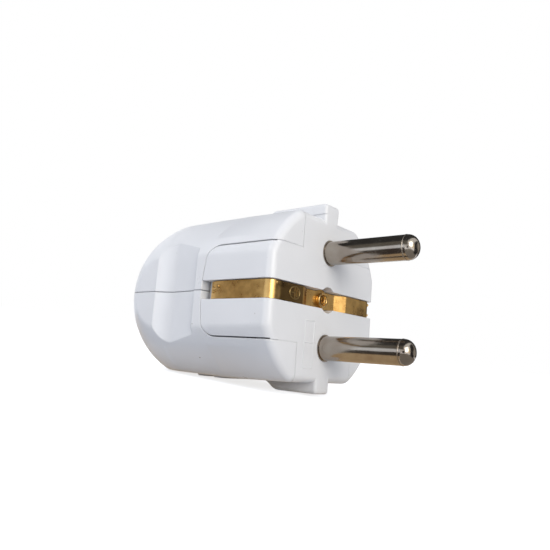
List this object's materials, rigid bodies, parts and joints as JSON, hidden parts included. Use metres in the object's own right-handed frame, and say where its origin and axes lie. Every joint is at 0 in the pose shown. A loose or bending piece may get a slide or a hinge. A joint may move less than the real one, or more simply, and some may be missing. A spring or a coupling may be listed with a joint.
{
  "type": "type f mains plug",
  "caption": "Rewirable earthed mains plug with round pins, side earth contacts on a bent strap, a split shell with finger scoops and a rear cord inlet.",
  "frame": {"origin": "centre of the engagement face, midway between the pins", "axes": "+X along the pins towards the socket, +Z from pin to pin, Y across the earth contacts"},
  "size_m": [0.064, 0.0354, 0.0379],
  "materials": {
    "white_plastic": "moulded, glossy",
    "nickel_plated": "nickel-plated, rubbed",
    "brass": "rolled strip, tarnished",
    "zinc_plated": "zinc-plated",
    "brassed_screw": "brass-plated, dull"
  },
  "bodies": {
    "root": {"contact_carrier": "white_plastic", "upper_shell": "white_plastic", "lower_shell": "white_plastic", "cord_clamp": "white_plastic", "live_pin": "nickel_plated", "neutral_pin": "nickel_plated", "earth_strap": "brass", "earth_terminal": "brass", "live_terminal_screw": "zinc_plated", "neutral_terminal_screw": "zinc_plated", "earth_wire_screw": "zinc_plated", "earth_wire_washer": "zinc_plated", "clamp_screw_left": "zinc_plated", "clamp_screw_right": "zinc_plated", "shell_screw_left": "zinc_plated", "shell_screw_right": "zinc_plated", "earth_screw": "brassed_screw"}
  },
  "joints": []
}
